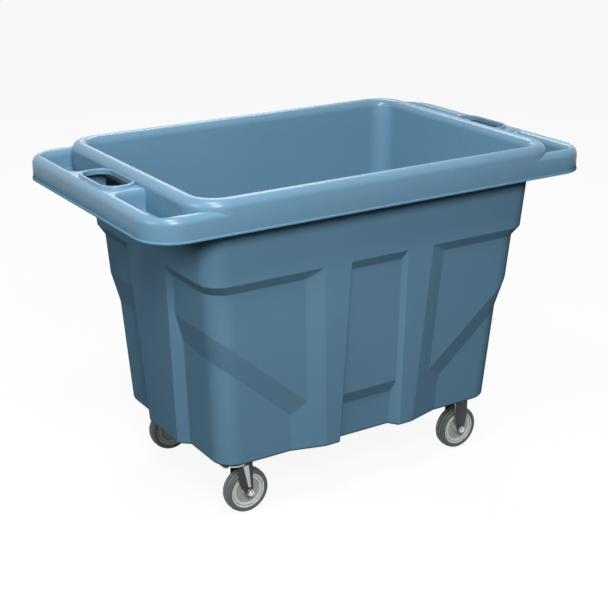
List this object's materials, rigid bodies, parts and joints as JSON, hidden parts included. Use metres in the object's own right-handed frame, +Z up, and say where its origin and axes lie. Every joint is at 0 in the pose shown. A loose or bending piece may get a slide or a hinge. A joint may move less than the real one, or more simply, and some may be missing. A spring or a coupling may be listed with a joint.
{
  "type": "bulk cube cart",
  "caption": "Moulded tapered tub cart with a rolled rim, stepped recesses round its sides and a hand hold with trays at each end, on swivel and rigid plate casters.",
  "frame": {"origin": "on the floor, under the middle of the tub", "axes": "+Z up, +X along the tub from the swivel casters to the rigid casters, +Y across it"},
  "size_m": [1.06, 0.6318, 0.732],
  "materials": {
    "moulded_blue": "moulded, semi-gloss",
    "zinc_plate": "zinc plated",
    "wheel_grey": "satin",
    "grey_rubber": "matt"
  },
  "bodies": {
    "cart": {"tub_base": "moulded_blue", "tub_front_wall": "moulded_blue", "tub_back_wall": "moulded_blue", "tub_left_wall": "moulded_blue", "tub_right_wall": "moulded_blue", "front_rim": "moulded_blue", "back_rim": "moulded_blue", "left_handle": "moulded_blue", "right_handle": "moulded_blue", "nut_plate_left_front": "zinc_plate", "mounting_bolt_left_front_1": "zinc_plate", "mounting_bolt_left_front_2": "zinc_plate", "mounting_bolt_left_front_3": "zinc_plate", "mounting_bolt_left_front_4": "zinc_plate", "top_plate_left_front": "zinc_plate", "king_pin_left_front": "zinc_plate", "ball_ring_left_front": "zinc_plate", "nut_plate_left_back": "zinc_plate", "mounting_bolt_left_back_1": "zinc_plate", "mounting_bolt_left_back_2": "zinc_plate", "mounting_bolt_left_back_3": "zinc_plate", "mounting_bolt_left_back_4": "zinc_plate", "top_plate_left_back": "zinc_plate", "king_pin_left_back": "zinc_plate", "ball_ring_left_back": "zinc_plate", "nut_plate_right_front": "zinc_plate", "mounting_bolt_right_front_1": "zinc_plate", "mounting_bolt_right_front_2": "zinc_plate", "mounting_bolt_right_front_3": "zinc_plate", "mounting_bolt_right_front_4": "zinc_plate", "rigid_fork_right_front": "zinc_plate", "axle_sleeve_right_front": "zinc_plate", "axle_bolt_right_front": "zinc_plate", "axle_nut_right_front": "zinc_plate", "nut_plate_right_back": "zinc_plate", "mounting_bolt_right_back_1": "zinc_plate", "mounting_bolt_right_back_2": "zinc_plate", "mounting_bolt_right_back_3": "zinc_plate", "mounting_bolt_right_back_4": "zinc_plate", "rigid_fork_right_back": "zinc_plate", "axle_sleeve_right_back": "zinc_plate", "axle_bolt_right_back": "zinc_plate", "axle_nut_right_back": "zinc_plate"},
    "swivel_left_front": {"swivel_fork_left_front": "zinc_plate", "axle_sleeve_left_front": "zinc_plate", "axle_bolt_left_front": "zinc_plate", "axle_nut_left_front": "zinc_plate"},
    "wheel_left_front": {"wheel_core_left_front": "wheel_grey", "tyre_left_front": "grey_rubber"},
    "swivel_left_back": {"swivel_fork_left_back": "zinc_plate", "axle_sleeve_left_back": "zinc_plate", "axle_bolt_left_back": "zinc_plate", "axle_nut_left_back": "zinc_plate"},
    "wheel_left_back": {"wheel_core_left_back": "wheel_grey", "tyre_left_back": "grey_rubber"},
    "wheel_right_front": {"wheel_core_right_front": "wheel_grey", "tyre_right_front": "grey_rubber"},
    "wheel_right_back": {"wheel_core_right_back": "wheel_grey", "tyre_right_back": "grey_rubber"}
  },
  "joints": [
    {"name": "swivel_left_front_turn", "type": "hinge", "parent": "cart", "child": "swivel_left_front", "pos_m": [-0.296, -0.175, 0.1312], "axis": [0, 0, 1], "continuous": true},
    {"name": "wheel_left_front_roll", "type": "hinge", "parent": "swivel_left_front", "child": "wheel_left_front", "pos_m": [-0.27, -0.175, 0.05], "axis": [0, 1, 0], "continuous": true},
    {"name": "swivel_left_back_turn", "type": "hinge", "parent": "cart", "child": "swivel_left_back", "pos_m": [-0.296, 0.175, 0.1312], "axis": [0, 0, 1], "continuous": true},
    {"name": "wheel_left_back_roll", "type": "hinge", "parent": "swivel_left_back", "child": "wheel_left_back", "pos_m": [-0.27, 0.175, 0.05], "axis": [0, 1, 0], "continuous": true},
    {"name": "wheel_right_front_roll", "type": "hinge", "parent": "cart", "child": "wheel_right_front", "pos_m": [0.296, -0.175, 0.05], "axis": [0, 1, 0], "continuous": true},
    {"name": "wheel_right_back_roll", "type": "hinge", "parent": "cart", "child": "wheel_right_back", "pos_m": [0.296, 0.175, 0.05], "axis": [0, 1, 0], "continuous": true}
  ]
}
